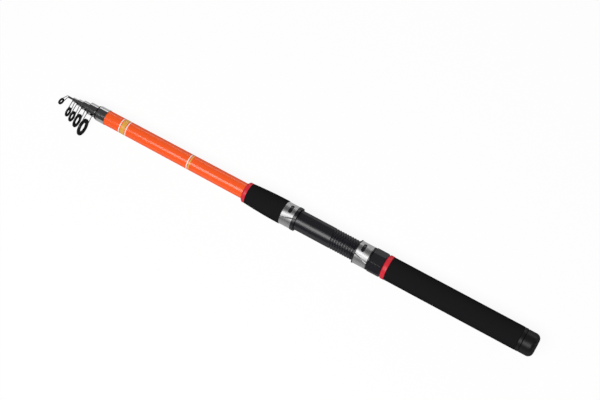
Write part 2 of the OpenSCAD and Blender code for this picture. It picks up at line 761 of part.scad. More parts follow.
module tip_top_frame() color(wire_steel) tip_side() translate([tip_wire_x, 0, 0])
    wire_frame(tip_tube_r + glue_gap + tip_wire_d / 2, tip_ring_reach,
        tip_ring_d / 2 - wire_sink * tip_wire_d,
        tip_wire_x - tip_tube_x - foot_stop, tip_wire_d, tip_bend_angle);

// Puts an outline turned about its own axis on the tip ring's middle
module at_tip_ring() tip_side() translate([tip_wire_x, 0, 0])
    rotate([0, 0, tip_bend_angle - 90]) translate([0, tip_ring_reach, 0]) turned() children();

module tip_top_ring() color(ring_black) at_tip_ring()
    ring_outline(tip_ring_d, insert_r(tip_ring_d, tip_hole_d), tip_ring_width, tip_wire_d);

module tip_top_insert() color(ring_black) at_tip_ring()
    insert_outline(tip_hole_d / 2, insert_r(tip_ring_d, tip_hole_d) - glue_gap, tip_ring_width);

butt_section();
front_ferrule();
fore_grip();
fore_grip_ring();
reel_seat_barrel();
seat_bush_front();
seat_bush_rear();
front_hood_body();
front_hood_cover();
rear_grip();
rear_grip_ring();
butt_collar();
sliding_hood_body();
sliding_hood_cover();
lock_nut();
butt_cap();
butt_cap_pad();
section_2();
section_3();
section_4();
section_5();
tip_section();
guide_2_stop_ring();
guide_2_sleeve_tube();
guide_2_frame();
guide_2_ring();
guide_2_insert();
guide_3_sleeve_tube();
guide_3_frame();
guide_3_ring();
guide_3_insert();
guide_4_sleeve_tube();
guide_4_frame();
guide_4_ring();
guide_4_insert();
guide_5_sleeve_tube();
guide_5_frame();
guide_5_ring();
guide_5_insert();
tip_top_tube();
tip_top_frame();
tip_top_ring();
tip_top_insert();
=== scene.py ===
import json
import math

import bmesh
import bpy
from mathutils import Matrix, Vector

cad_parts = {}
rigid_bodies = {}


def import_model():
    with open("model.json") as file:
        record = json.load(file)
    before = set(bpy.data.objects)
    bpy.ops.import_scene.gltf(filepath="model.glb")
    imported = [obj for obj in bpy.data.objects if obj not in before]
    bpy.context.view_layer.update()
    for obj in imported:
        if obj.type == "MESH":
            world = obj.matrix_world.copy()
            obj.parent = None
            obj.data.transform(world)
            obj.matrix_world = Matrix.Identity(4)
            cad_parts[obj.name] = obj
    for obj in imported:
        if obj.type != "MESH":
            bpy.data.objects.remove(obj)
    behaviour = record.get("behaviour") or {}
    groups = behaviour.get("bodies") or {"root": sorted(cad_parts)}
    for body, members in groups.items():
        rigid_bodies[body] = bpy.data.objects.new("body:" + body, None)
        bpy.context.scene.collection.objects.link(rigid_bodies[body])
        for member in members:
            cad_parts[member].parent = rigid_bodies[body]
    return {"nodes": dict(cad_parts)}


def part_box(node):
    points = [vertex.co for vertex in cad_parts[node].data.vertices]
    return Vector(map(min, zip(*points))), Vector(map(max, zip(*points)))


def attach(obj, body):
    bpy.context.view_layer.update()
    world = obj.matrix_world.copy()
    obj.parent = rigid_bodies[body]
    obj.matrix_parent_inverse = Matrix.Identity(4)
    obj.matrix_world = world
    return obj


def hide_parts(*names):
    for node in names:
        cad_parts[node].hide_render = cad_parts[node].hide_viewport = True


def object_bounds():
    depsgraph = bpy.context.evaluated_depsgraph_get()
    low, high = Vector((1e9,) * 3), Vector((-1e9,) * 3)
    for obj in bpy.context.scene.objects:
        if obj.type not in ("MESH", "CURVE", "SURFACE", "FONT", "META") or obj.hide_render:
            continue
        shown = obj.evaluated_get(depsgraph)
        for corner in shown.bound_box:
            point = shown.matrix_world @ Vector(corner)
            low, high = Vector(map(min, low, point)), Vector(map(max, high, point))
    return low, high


for left_over in list(bpy.data.objects):
    bpy.data.objects.remove(left_over)
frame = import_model()
cad_box = [list(corner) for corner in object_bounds()]


# Butt blank: a tapered tube rolled from glass cloth and lacquered orange.
# It carries the whole handle. Plain white and gold trim bands are painted near
# its front, under the clear coat.

mm = 0.001
weld = 0.001 * mm


def turned(outline, around=96):
    """A closed outline of (station, radius) points, turned about the rod's axis."""
    shape = bmesh.new()
    corners = [shape.verts.new((x, 0, r)) for x, r in outline]
    rims = [shape.edges.new(pair) for pair in zip(corners, corners[1:] + corners[:1])]
    bmesh.ops.spin(shape, geom=corners + rims, cent=(0, 0, 0), axis=(1, 0, 0),
                   angle=math.tau, steps=around, use_merge=True)
    bmesh.ops.remove_doubles(shape, verts=shape.verts, dist=weld)
    bmesh.ops.recalc_face_normals(shape, faces=shape.faces)
    return shape


def soften(shape, width, sharper_than=math.radians(20)):
    """Rounds every edge where the faces turn by more than the given angle."""
    edges = [e for e in shape.edges if e.is_manifold and e.calc_face_angle() > sharper_than]
    bmesh.ops.bevel(shape, geom=edges, offset=width, offset_type="OFFSET", segments=3,
                    profile=0.5, affect="EDGES", clamp_overlap=True, material=-1)
    bmesh.ops.remove_doubles(shape, verts=shape.verts, dist=weld)
    return shape


def fit_piece(name, shape, material, body, slot, *nodes, sharper_than=math.radians(32)):
    """Makes a shape a piece of the rod that rides on a body and stands for its nodes."""
    mesh = bpy.data.meshes.new(name)
    shape.to_mesh(mesh)
    shape.free()
    mesh.shade_smooth()
    mesh.set_sharp_from_angle(angle=sharper_than)
    mesh.materials.append(material)
    piece = bpy.data.objects.new(name, mesh)
    bpy.context.scene.collection.objects.link(piece)
    piece.modifiers.new("straight_shading", "WEIGHTED_NORMAL").keep_sharp = True
    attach(piece, body)
    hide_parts(*nodes)
    return piece


def finish(name, **values):
    """A material with plain values on its shader's own sockets, named with underscores."""
    material = bpy.data.materials.new(name)
    material.use_nodes = True
    shader = material.node_tree.nodes["Principled BSDF"]
    for socket, value in values.items():
        shader.inputs[socket.replace("_", " ")].default_value = value
    return material


def add_node(material, kind, inputs):
    """Adds a node: an output in inputs is linked to its socket, and a value is set on it."""
    node = material.node_tree.nodes.new(kind)
    for name, value in inputs.items():
        if isinstance(value, bpy.types.NodeSocket):
            material.node_tree.links.new(value, node.inputs[name])
        else:
            node.inputs[name].default_value = value
    return node


def to_shader(material, output, socket):
    """Links an output to a socket of the material's shader."""
    shader = material.node_tree.nodes["Principled BSDF"]
    material.node_tree.links.new(output, shader.inputs[socket])


def place_of(material, stretch=(1, 1, 1)):
    """The point on the piece, stretched for patterns that run one way."""
    place = add_node(material, "ShaderNodeTexCoord", {}).outputs["Object"]
    return add_node(material, "ShaderNodeMapping", {"Vector": place, "Scale": stretch}).outputs[0]


def grain(material, size, depth, roughness, stretch=(1, 1, 1), edge=0):
    """Fine unevenness of that size and depth, with the roughness between two values.
    Sharp edges shine as if they were rounded by the radius edge."""
    noise = add_node(material, "ShaderNodeTexNoise", {
        "Vector": place_of(material, stretch), "Scale": 1 / size, "Detail": 3}).outputs["Fac"]
    bump = add_node(material, "ShaderNodeBump", {"Height": noise, "Distance": depth})
    if edge:
        rounded = add_node(material, "ShaderNodeBevel", {"Radius": edge})
        material.node_tree.links.new(rounded.outputs[0], bump.inputs["Normal"])
    rough = add_node(material, "ShaderNodeMapRange", {
        "Value": noise, "To Min": roughness[0], "To Max": roughness[1]})
    to_shader(material, bump.outputs[0], "Normal")
    to_shader(material, bump.outputs[0], "Coat Normal")
    to_shader(material, rough.outputs[0], "Roughness")
    return noise


def mottled(material, amount, dark, light):
    """Colour that wanders between two near shades."""
    mix = add_node(material, "ShaderNodeMix", {"Factor": amount})
    mix.data_type = "RGBA"
    mix.inputs["A"].default_value = dark
    mix.inputs["B"].default_value = light
    return mix


orange = (1.0, 0.114, 0.019, 1)
band_white = (0.86, 0.84, 0.8, 1)
band_gold = (0.78, 0.42, 0.07, 1)
band_edges = [
    (424, band_gold), (425.6, orange), (427, band_white), (428, orange),
    (508, band_white), (509.2, orange), (510.6, band_gold), (515.4, orange),
    (516.8, band_white), (518, orange)]
bands_rear = 420
bands_front = 520

lacquer = finish("orange_lacquer", Coat_Weight=0.13, Coat_IOR=3, Coat_Roughness=0.18,
                 Specular_IOR_Level=0)
peel = grain(lacquer, size=1.6 * mm, depth=0.012 * mm, roughness=(0.4, 0.5))
station = add_node(lacquer, "ShaderNodeSeparateXYZ", {"Vector": place_of(lacquer)}).outputs["X"]
along_bands = add_node(lacquer, "ShaderNodeMapRange", {
    "Value": station, "From Min": bands_rear * mm, "From Max": bands_front * mm})
bands = add_node(lacquer, "ShaderNodeValToRGB", {"Fac": along_bands.outputs[0]})
bands.color_ramp.interpolation = "CONSTANT"
bands.color_ramp.elements[0].color = orange
bands.color_ramp.elements.remove(bands.color_ramp.elements[1])
for edge, colour in band_edges:
    bands.color_ramp.elements.new((edge - bands_rear) / (bands_front - bands_rear)).color = colour
shade = add_node(lacquer, "ShaderNodeMapRange", {"Value": peel, "To Min": 0.94, "To Max": 1.04})
tone = add_node(lacquer, "ShaderNodeHueSaturation", {
    "Color": bands.outputs["Color"], "Value": shade.outputs[0]})
to_shader(lacquer, tone.outputs[0], "Base Color")

blank_wall = 1.2 * mm
blank_edge = 0.2 * mm
blank_front_r = 8.6 * mm
blank_rear, blank_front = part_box("butt_section")
blank_rear_r = blank_front.z


def blank_r(x):
    """Radius of the blank's surface at a station."""
    share = (x - blank_rear.x) / (blank_front.x - blank_rear.x)
    return blank_rear_r + share * (blank_front_r - blank_rear_r)


blank = soften(turned([
    (blank_rear.x, blank_rear_r), (blank_front.x, blank_front_r),
    (blank_front.x, blank_front_r - blank_wall), (blank_rear.x, blank_rear_r - blank_wall)]), blank_edge)
fit_piece("butt_blank", blank, lacquer, "handle", "orange_blank", "butt_section")


# Front ferrule: a plated brass ring pressed on the blank's front end.
# Its lip covers the cut edge of the tube, and its rear edge is rolled.

def bright_plate(name, shade, roughness):
    """Polished plating with the fine turning marks of a lathe."""
    material = finish(name, Metallic=1.0)
    marks = grain(material, size=0.5 * mm, depth=0.002 * mm, roughness=roughness, stretch=(6, 1, 1))
    mix = mottled(material, marks, dark=(shade * 0.92,) * 3 + (1,),
                  light=(shade, shade, shade * 1.02, 1))
    to_shader(material, mix.outputs["Result"], "Base Color")
    return material


chrome = bright_plate("chrome_plate", shade=0.34, roughness=(0.08, 0.15))
ferrule_lip = 1 * mm
ferrule_roll = 0.8 * mm
ferrule_neck = 0.15 * mm
ferrule_rear, ferrule_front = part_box("front_ferrule")
ferrule_r = ferrule_front.z
mouth_r = blank_front_r - blank_wall
ferrule = turned([
    (ferrule_rear.x, blank_r(ferrule_rear.x)), (ferrule_rear.x, ferrule_r),
    (ferrule_rear.x + ferrule_roll, ferrule_r),
    (ferrule_rear.x + ferrule_roll + ferrule_neck, ferrule_r - ferrule_neck),
    (ferrule_front.x - 2 * ferrule_neck, ferrule_r - ferrule_neck),
    (ferrule_front.x, ferrule_r - 3 * ferrule_neck), (ferrule_front.x, mouth_r),
    (ferrule_front.x - ferrule_lip, mouth_r),
    (ferrule_front.x - ferrule_lip, blank_r(ferrule_front.x))])
fit_piece("ferrule_ring", ferrule, chrome, "handle", "bright_metal", "front_ferrule")


# Grips: two sleeves of closed-cell foam, turned on a lathe, sanded and glued
# to the blank. The fore grip swells in one arc towards the reel seat.

foam = finish("black_foam", Specular_IOR_Level=0)
nap = grain(foam, size=0.5 * mm, depth=0.06 * mm, roughness=(0.82, 0.98))
foam_shade = mottled(foam, nap, dark=(0.0095, 0.0095, 0.0102, 1), light=(0.0145, 0.0145, 0.0155, 1))
to_shader(foam, foam_shade.outputs["Result"], "Base Color")

grip_edge = 0.9 * mm
rear_grip_lo, rear_grip_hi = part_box("rear_grip")
rear_grip = soften(turned([
    (rear_grip_lo.x, blank_r(rear_grip_lo.x)), (rear_grip_lo.x, rear_grip_hi.z),
    (rear_grip_hi.x, rear_grip_hi.z), (rear_grip_hi.x, blank_r(rear_grip_hi.x))]), grip_edge)
rear_foam = fit_piece("rear_foam_grip", rear_grip, foam, "handle", "black_foam", "rear_grip")

fore_grip_lo, fore_grip_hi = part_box("fore_grip")
fore_front_r = 11.9 * mm
fore_drop = fore_grip_hi.z - fore_front_r
fore_length = fore_grip_hi.x - fore_grip_lo.x
fore_arc_r = (fore_length ** 2 + fore_drop ** 2) / (2 * fore_drop)
arc_steps = 16


def fore_point(k):
    """Point k on the fore grip's swelling outside, from its rear end."""
    along = k / arc_steps * fore_length
    return fore_grip_lo.x + along, fore_grip_hi.z - fore_arc_r + math.sqrt(fore_arc_r ** 2 - along ** 2)


fore_grip = soften(turned(
    [(fore_grip_lo.x, blank_r(fore_grip_lo.x))]
    + [fore_point(k) for k in range(arc_steps + 1)]
    + [(fore_grip_hi.x, blank_r(fore_grip_hi.x))]), grip_edge / 2)
fore_foam = fit_piece("fore_foam_grip", fore_grip, foam, "handle", "black_foam", "fore_grip")


# Trim rings: two red anodised aluminium rings that close the front ends of the
# grips. They are turned, with a bevel on the front edge.

red_trim = finish("red_anodised", Coat_Weight=0.06, Coat_IOR=3, Coat_Roughness=0.3,
                  Specular_IOR_Level=0)
red_marks = grain(red_trim, size=0.4 * mm, depth=0.003 * mm, roughness=(0.34, 0.42),
                  stretch=(5, 1, 1))
red_shade = mottled(red_trim, red_marks, dark=(0.62, 0.026, 0.042, 1), light=(0.72, 0.034, 0.054, 1))
to_shader(red_trim, red_shade.outputs["Result"], "Base Color")

trim_edge = 0.25 * mm
for ring_node, front_bevel in (("rear_grip_ring", 1.2 * mm), ("fore_grip_ring", 1.8 * mm)):
    ring_lo, ring_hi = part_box(ring_node)
    trim_ring = soften(turned([
        (ring_lo.x, blank_r(ring_lo.x)), (ring_lo.x, ring_hi.z),
        (ring_hi.x - front_bevel, ring_hi.z), (ring_hi.x, ring_hi.z - front_bevel),
        (ring_hi.x, blank_r(ring_hi.x))]), trim_edge)
    fit_piece("red_" + ring_node, trim_ring, red_trim, "handle", "red_trim", ring_node)


# Reel seat: a moulded black barrel with a coarse screw on its rear half and a
# flat along its top for the reel's foot. Two fibre bushes centre it on the blank.

cut_slack = 0.0001 * mm


def cut(shape, point, outward):
    """Cuts away what lies outside a plane and closes the cut."""
    everything = shape.verts[:] + shape.edges[:] + shape.faces[:]
    bmesh.ops.bisect_plane(shape, geom=everything, plane_co=point, plane_no=outward,
                           dist=cut_slack, clear_outer=True)
    bmesh.ops.edgeloop_fill(shape, edges=[e for e in shape.edges if e.is_boundary])


def screw_ridge(x1, x2, crest_r, depth, pitch):
    """One helical ridge that winds from x1 to x2 and is cut square at both ends.
    Its outline is in shares of the pitch and in heights over the screw's floor."""
    around = 48
    sunk = 0.15 * mm
    shape = bmesh.new()
    outline = [(-0.1, -sunk), (0.24, depth), (0.56, depth), (0.9, -sunk)]
    corners = [shape.verts.new((x1 + (share - 1) * pitch, 0, crest_r - depth + rise))
               for share, rise in outline]
    rims = [shape.edges.new(pair) for pair in zip(corners, corners[1:] + corners[:1])]
    turns = math.ceil((x2 - x1) / pitch) + 2
    bmesh.ops.spin(shape, geom=corners + rims, cent=(0, 0, 0), axis=(1, 0, 0),
                   dvec=(pitch / around, 0, 0), angle=turns * math.tau, steps=turns * around)
    for x, side in ((x1, -1), (x2, 1)):
        cut(shape, Vector((x, 0, 0)), Vector((side, 0, 0)))
    bmesh.ops.recalc_face_normals(shape, faces=shape.faces)
    return shape


def add_shape(shape, other):
    """Puts a second shape into the first."""
    held = bpy.data.meshes.new("held")
    other.to_mesh(held)
    other.free()
    shape.from_mesh(held)
    bpy.data.meshes.remove(held)


def moulded_plastic(name, edge=0):
    """Satin black plastic with the faint unevenness of its mould."""
    material = finish(name, Coat_Weight=0.16, Coat_IOR=3, Coat_Roughness=0.3,
                      Specular_IOR_Level=0)
    moulding = grain(material, size=0.9 * mm, depth=0.006 * mm, roughness=(0.4, 0.5), edge=edge)
    mix = mottled(material, moulding, dark=(0.0056, 0.0057, 0.0085, 1), light=(0.008, 0.0082, 0.012, 1))
    to_shader(material, mix.outputs["Result"], "Base Color")
    return material


seat_pitch = 3 * mm
seat_depth = 0.7 * mm
seat_thread = 64.2 * mm
saddle_depth = 0.6 * mm
seat_turn = math.radians(22)
seat_bore_r = 9.75 * mm
seat_edge = 0.15 * mm
seat_lo, seat_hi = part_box("reel_seat_barrel")
seat_r = seat_hi.y
pocket_side = Vector((0, -math.sin(seat_turn), math.cos(seat_turn)))
thread_end = seat_lo.x + seat_thread
seat = soften(turned([
    (seat_lo.x, seat_bore_r), (seat_lo.x, seat_r - seat_depth), (thread_end, seat_r - seat_depth),
    (thread_end + seat_depth, seat_r), (seat_hi.x, seat_r), (seat_hi.x, seat_bore_r)]), seat_edge)
add_shape(seat, screw_ridge(
    seat_lo.x + seat_depth, thread_end + seat_depth, seat_r, seat_depth, seat_pitch))
cut(seat, pocket_side * (seat_r - saddle_depth), pocket_side)
fit_piece("reel_seat_tube", seat, moulded_plastic("seat_plastic"), "handle", "black_plastic",
          "reel_seat_barrel")


def dress(node, material):
    """Gives a CAD node, which keeps its own shape, a better finish."""
    frame["nodes"][node].data.materials.clear()
    frame["nodes"][node].data.materials.append(material)


fibre = finish("bush_fibre", Specular_IOR_Level=0.2)
strands = grain(fibre, size=0.8 * mm, depth=0.05 * mm, roughness=(0.8, 0.95), stretch=(0.2, 1, 1))
fibre_shade = mottled(fibre, strands, dark=(0.32, 0.21, 0.1, 1), light=(0.48, 0.34, 0.18, 1))
to_shader(fibre, fibre_shade.outputs["Result"], "Base Color")
for bush in ("seat_bush_front", "seat_bush_rear"):
    dress(bush, fibre)


# Hoods: the reel's foot is held in two moulded black pockets, and the rear one
# slides on the barrel. Each has a bright slotted cover, with a line pressed in
# on both sides of the pocket's dome.

def press_line(shape, start, end, half_width, depth):
    """Presses a narrow groove into a thin cover's outside, straight from start to end."""
    outward = Vector((0, start.y + end.y, start.z + end.z)).normalized()
    across = (end - start).cross(outward).normalized()
    for shift in (-half_width, half_width, 0):
        near = [f for f in shape.faces if f.calc_center_median().dot(outward) > 0]
        edges = dict.fromkeys(e for f in near for e in f.edges)
        corners = dict.fromkeys(v for f in near for v in f.verts)
        bmesh.ops.bisect_plane(shape, geom=[*near, *edges, *corners], dist=cut_slack,
                               plane_co=start + shift * across, plane_no=across)
    shape.normal_update()
    for corner in shape.verts:
        radial = Vector((0, corner.co.y, corner.co.z)).normalized()
        off_line = abs((corner.co - start).dot(across))
        if off_line < half_width and corner.co.dot(outward) > 0 and corner.normal.dot(radial) > 0:
            corner.co -= radial * depth * (1 - off_line / half_width)


hood_plastic = moulded_plastic("hood_plastic", edge=0.7 * mm)
hood_metal = bright_plate("hood_satin", shade=0.33, roughness=(0.4, 0.48))
cover_slices = 24
flat_angle = math.radians(0.3)
crease_angle = math.radians(13)
line_depth = 0.42 * mm
line_half_width = 0.75 * mm
for hood, body, mouth_end, mouth_half_angle, closed_half_angle in (
        ("front_hood", "handle", 0, math.radians(39), math.radians(57)),
        ("sliding_hood", "sliding_hood", 1, math.radians(43), math.radians(62.5))):
    dress(hood + "_body", hood_plastic)
    cover_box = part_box(hood + "_cover")
    cover_r = cover_box[1].y
    cover = bmesh.new()
    cover.from_mesh(frame["nodes"][hood + "_cover"].data)
    bmesh.ops.remove_doubles(cover, verts=cover.verts, dist=cut_slack)
    # Flat strips in even slices, so that the pressed lines get clean walls
    bmesh.ops.dissolve_limit(cover, verts=cover.verts, edges=cover.edges, angle_limit=flat_angle)
    for k in range(1, cover_slices):
        slice_at = cover_box[0].lerp(cover_box[1], k / cover_slices)
        bmesh.ops.bisect_plane(cover, geom=cover.verts[:] + cover.edges[:] + cover.faces[:],
                               dist=cut_slack, plane_co=slice_at, plane_no=(1, 0, 0))
    for side in (-1, 1):
        mouth, closed = (
            Vector((cover_box[end].x, cover_r * math.sin(side * half_angle - seat_turn),
                    cover_r * math.cos(side * half_angle - seat_turn)))
            for end, half_angle in ((mouth_end, mouth_half_angle), (1 - mouth_end, closed_half_angle)))
        press_line(cover, mouth, closed, line_half_width, line_depth)
    fit_piece(hood + "_plate", cover, hood_metal, body, "bright_metal", hood + "_cover",
              sharper_than=crease_angle)


# Lock nut: an eight-sided moulded nut on the barrel's screw. It pushes the
# sliding hood forward and holds it by a rim in its groove.

dress("lock_nut", hood_plastic)


# Butt collar and cap: a black moulded band glued on the blank's rear end, with
# a screwed spigot, and the fluted cap that closes the rod on a rubber pad.

cap_black = finish("cap_plastic", Coat_Weight=0.06, Coat_IOR=3, Coat_Roughness=0.36,
                   Specular_IOR_Level=0)
cap_grain = grain(cap_black, size=0.7 * mm, depth=0.02 * mm, roughness=(0.42, 0.58), edge=0.2 * mm)
cap_shade = mottled(cap_black, cap_grain, dark=(0.0065, 0.0065, 0.007, 1), light=(0.01, 0.01, 0.0108, 1))
to_shader(cap_black, cap_shade.outputs["Result"], "Base Color")
dress("butt_cap", cap_black)

spigot_pitch = 2 * mm
spigot_depth = 0.5 * mm
spigot_r = 11 * mm
collar_lo, collar_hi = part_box("butt_collar")
band_x = 15.2 * mm
collar_edge = 0.4 * mm
collar_r = collar_hi.z
collar = soften(turned([
    (collar_lo.x, blank_r(collar_lo.x)), (collar_lo.x, spigot_r - spigot_depth),
    (band_x, spigot_r - spigot_depth), (band_x, collar_r), (collar_hi.x, collar_r),
    (collar_hi.x, blank_r(collar_hi.x))]), collar_edge)
add_shape(collar, screw_ridge(
    collar_lo.x + spigot_pitch, band_x - spigot_pitch / 2, spigot_r, spigot_depth, spigot_pitch))
fit_piece("collar_band", collar, cap_black, "handle", "cap_plastic", "butt_collar")

rubber = finish("pad_rubber", Specular_IOR_Level=0.1)
rubber_grain = grain(rubber, size=0.6 * mm, depth=0.03 * mm, roughness=(0.75, 0.9))
rubber_shade = mottled(
    rubber, rubber_grain, dark=(0.006, 0.006, 0.006, 1), light=(0.011, 0.011, 0.011, 1))
to_shader(rubber, rubber_shade.outputs["Result"], "Base Color")
pad_lo, pad_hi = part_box("butt_cap_pad")
pad_edge = 0.4 * mm
pad = soften(turned([(pad_lo.x, 0), (pad_lo.x, pad_hi.z), (pad_hi.x, pad_hi.z), (pad_hi.x, 0)]), pad_edge)
cap_pad = fit_piece("cap_rubber_pad", pad, rubber, "cap_pad", "pad_rubber", "butt_cap_pad")


# Inner sections: four lacquered tubes and a solid tip, one inside the other.
# Each is tapered, so that it wedges in the mouth behind it when pulled out.

plain_lacquer = finish("section_lacquer", Coat_Weight=0.13, Coat_IOR=3, Coat_Roughness=0.18,
                       Specular_IOR_Level=0)
section_peel = grain(plain_lacquer, size=1.2 * mm, depth=0.01 * mm, roughness=(0.4, 0.5))
section_shade = mottled(
    plain_lacquer, section_peel, dark=(0.94, 0.102, 0.016, 1), light=(1.0, 0.12, 0.021, 1))
to_shader(plain_lacquer, section_shade.outputs["Result"], "Base Color")

section_front_r = {"section_2": 6.3 * mm, "section_3": 4.4 * mm, "section_4": 2.8 * mm,
                   "section_5": 1.65 * mm, "tip_section": 0.65 * mm}
section_wall = {"section_2": 1 * mm, "section_3": 0.9 * mm, "section_4": 0.6 * mm,
                "section_5": 0.55 * mm}
section_edge = 0.08 * mm
for section, front_r in section_front_r.items():
    section_lo, section_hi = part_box(section)
    rear_r = section_hi.z
    rear_bore = rear_r - section_wall.get(section, rear_r)
    front_bore = front_r - section_wall.get(section, front_r)
    tube = soften(turned([
        (section_lo.x, rear_bore), (section_lo.x, rear_r), (section_hi.x, front_r),
        (section_hi.x, front_bore)], around=64), section_edge)
    fit_piece(section + "_blank", tube, plain_lacquer, section, "orange_blank", section)


# Line guides: each has a bright sleeve on its section's front end, a bent dark
# steel wire with its feet along the sleeve, and a black ring with a hard insert.

def bent_wire(gauge, start, heading, moves):
    """A round wire that runs a length, or bends round a centre by an angle, move by move."""
    wire_sides = 16
    bend_step = math.radians(6)
    shape = bmesh.new()
    turn = heading.to_track_quat("Z", "Y").to_matrix().to_4x4()
    bmesh.ops.create_circle(shape, radius=gauge / 2, segments=wire_sides,
                            matrix=Matrix.Translation(start) @ turn)
    end = shape.verts[:] + shape.edges[:]
    spot = start.copy()
    for kind, *sizes in moves:
        if kind == "run":
            step = heading * sizes[0]
            grown = bmesh.ops.extrude_edge_only(
                shape, edges=[e for e in end if isinstance(e, bmesh.types.BMEdge)])
            end = grown["geom"]
            moved = [v for v in end if isinstance(v, bmesh.types.BMVert)]
            bmesh.ops.translate(shape, verts=moved, vec=step)
            spot = spot + step
        else:
            centre, angle = sizes
            axis = heading.cross(centre - spot).normalized()
            steps = max(4, round(angle / bend_step))
            grown = bmesh.ops.spin(shape, geom=end, cent=centre, axis=axis, angle=angle, steps=steps)
            end = grown["geom_last"]
            swing = Matrix.Rotation(angle, 3, axis)
            spot = centre + swing @ (spot - centre)
            heading = swing @ heading
        end = [g for g in end if not isinstance(g, bmesh.types.BMFace)]
    bmesh.ops.edgeloop_fill(shape, edges=[e for e in shape.edges if e.is_boundary])
    bmesh.ops.recalc_face_normals(shape, faces=shape.faces)
    return shape


def guide_wire(gauge, side, reach, loop_r, foot, bend):
    """A guide's frame: foot, bend, leg, loop, leg, bend and foot, in one wire.
    The bend is at the origin, the feet lie along -X, and the loop is towards +Y."""
    bend_r = 1.4 * mm
    span = math.hypot(side, reach)
    flare = math.asin(loop_r / span) - math.atan(side / reach)
    leg = math.sqrt(span ** 2 - loop_r ** 2)
    along_rod = Vector((1, 0, 0))
    outward = Vector((math.cos(bend), math.sin(bend), 0))
    leg_way = math.cos(flare) * outward + math.sin(flare) * Vector((0, 0, 1))
    turn = along_rod.angle(leg_way)
    trim = bend_r * math.tan(turn / 2)
    rise = (leg_way - along_rod * leg_way.x).normalized()
    near = Vector((-trim, 0, side)) + bend_r * rise
    far = Vector((near.x, near.y, -near.z))
    return bent_wire(gauge, Vector((-foot, 0, side)), along_rod, [
        ("run", foot - trim), ("bend", near, turn), ("run", leg - trim),
        ("bend", outward * reach, math.pi + 2 * flare),
        ("run", leg - trim), ("bend", far, turn), ("run", foot - trim)])


def ring_shapes(ring_r, hole_r, width, gauge):
    """The outer ring, with the groove that its wire lies in, and the rounded insert."""
    groove_half = 0.55 * gauge
    groove_floor = 0.8 * groove_half
    groove_r = ring_r - 0.3 * gauge
    insert_r = hole_r + 0.42 * (ring_r - hole_r)
    half = width / 2
    bevel = 0.08 * width
    ring_edge = 0.04 * mm
    outer = soften(turned([
        (-half, insert_r), (-half, ring_r - bevel), (bevel - half, ring_r), (-groove_half, ring_r),
        (-groove_floor, groove_r), (groove_floor, groove_r), (groove_half, ring_r),
        (half - bevel, ring_r), (half, ring_r - bevel), (half, insert_r)], around=72), ring_edge)
    inner_round = 0.45 * min(width, insert_r - hole_r)
    insert_edge = 0.4 * inner_round
    insert = turned([
        (-half, insert_r), (half, insert_r), (half, hole_r + inner_round), (half - inner_round, hole_r),
        (inner_round - half, hole_r), (-half, hole_r + inner_round)], around=72)
    return outer, soften(insert, insert_edge)


wire_steel = bright_plate("wire_steel", shade=0.07, roughness=(0.25, 0.36))
ring_black = finish("ring_plastic", Coat_Weight=0.03, Coat_IOR=3, Coat_Roughness=0.25,
                    Specular_IOR_Level=0)
ring_grain = grain(ring_black, size=0.5 * mm, depth=0.008 * mm, roughness=(0.35, 0.5))
ring_shade = mottled(
    ring_black, ring_grain, dark=(0.003, 0.003, 0.0033, 1), light=(0.005, 0.005, 0.0055, 1))
to_shader(ring_black, ring_shade.outputs["Result"], "Base Color")
ceramic = finish("ring_ceramic", Coat_Weight=0.05, Coat_IOR=3, Coat_Roughness=0.1,
                 Specular_IOR_Level=0)
ceramic_grain = grain(ceramic, size=0.4 * mm, depth=0.002 * mm, roughness=(0.08, 0.16))
ceramic_shade = mottled(
    ceramic, ceramic_grain, dark=(0.003, 0.003, 0.0033, 1), light=(0.005, 0.005, 0.0055, 1))
to_shader(ceramic, ceramic_shade.outputs["Result"], "Base Color")

wire_d = 0.9 * mm
glue_gap = 0.05 * mm
foot_stop = 1 * mm
wire_sink = 0.25
guide_bend = math.radians(90)
sleeve_wall = 0.9 * mm
sleeve_edge = 0.2 * mm
line_hole_r = {"guide_2": 5.2 * mm, "guide_3": 3.75 * mm, "guide_4": 2.75 * mm, "guide_5": 2.35 * mm}
for guide, line_hole in line_hole_r.items():
    sleeve_lo, sleeve_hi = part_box(guide + "_sleeve_tube")
    ring_lo, ring_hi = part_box(guide + "_ring")
    ring_mid = (ring_lo + ring_hi) / 2
    ring_r = (ring_hi.z - ring_lo.z) / 2
    ring_width = ring_hi.x - ring_lo.x
    sleeve_r = sleeve_hi.z
    reach = math.hypot(ring_mid.y, ring_mid.z)
    to_ring = Matrix.Rotation(math.atan2(ring_mid.z, ring_mid.y), 4, "X")
    sleeve_bore = sleeve_r - sleeve_wall
    sleeve = soften(turned([
        (sleeve_lo.x, sleeve_bore), (sleeve_lo.x, sleeve_r), (sleeve_hi.x, sleeve_r),
        (sleeve_hi.x, sleeve_bore)], around=72), sleeve_edge)
    fit_piece(guide + "_sleeve", sleeve, chrome, guide, "bright_metal", guide + "_sleeve_tube")
    wire = guide_wire(wire_d, sleeve_r + glue_gap + wire_d / 2, reach, ring_r - wire_sink * wire_d,
                      ring_mid.x - sleeve_lo.x - foot_stop, guide_bend)
    bmesh.ops.transform(wire, matrix=to_ring @ Matrix.Translation((ring_mid.x, 0, 0)), verts=wire.verts)
    fit_piece(guide + "_wire", wire, wire_steel, guide, "wire_steel", guide + "_frame")
    outer, insert = ring_shapes(ring_r, line_hole, ring_width, wire_d)
    for part, shape, material, slot in (
            ("_ring", outer, ring_black, "ring_plastic"), ("_insert", insert, ceramic, "ring_ceramic")):
        bmesh.ops.transform(shape, matrix=Matrix.Translation(ring_mid), verts=shape.verts)
        fit_piece(guide + part + "_shape", shape, material, guide, slot, guide + part)

